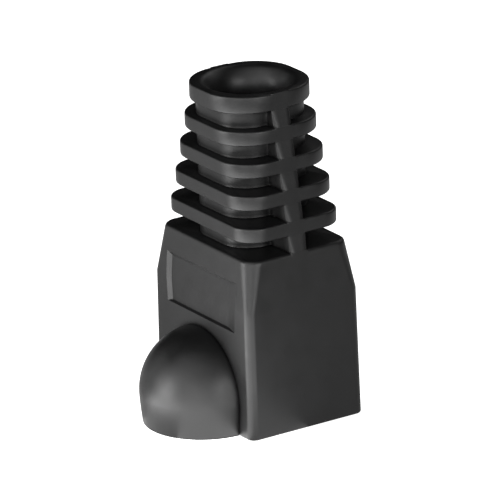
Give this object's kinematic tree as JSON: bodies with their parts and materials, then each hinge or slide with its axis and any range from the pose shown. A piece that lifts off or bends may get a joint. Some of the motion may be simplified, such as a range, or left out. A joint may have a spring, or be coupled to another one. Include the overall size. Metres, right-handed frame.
{
  "type": "modular plug strain relief boot",
  "caption": "Moulded slip-on boot for a modular network plug: open box housing, bubble over the latch and a ribbed bending neck with a cable bore.",
  "frame": {"origin": "centre of the plug socket in the plane of the open rim, on the cable's axis", "axes": "+Z along the cable's axis, from the open rim to the collar; +X across the plug's width; -Y towards the bubble over the plug's latch"},
  "size_m": [0.014, 0.0158, 0.0272],
  "materials": {
    "boot_rubber": "matte moulded, fine grain"
  },
  "bodies": {
    "root": {"boot": "boot_rubber"}
  },
  "joints": []
}
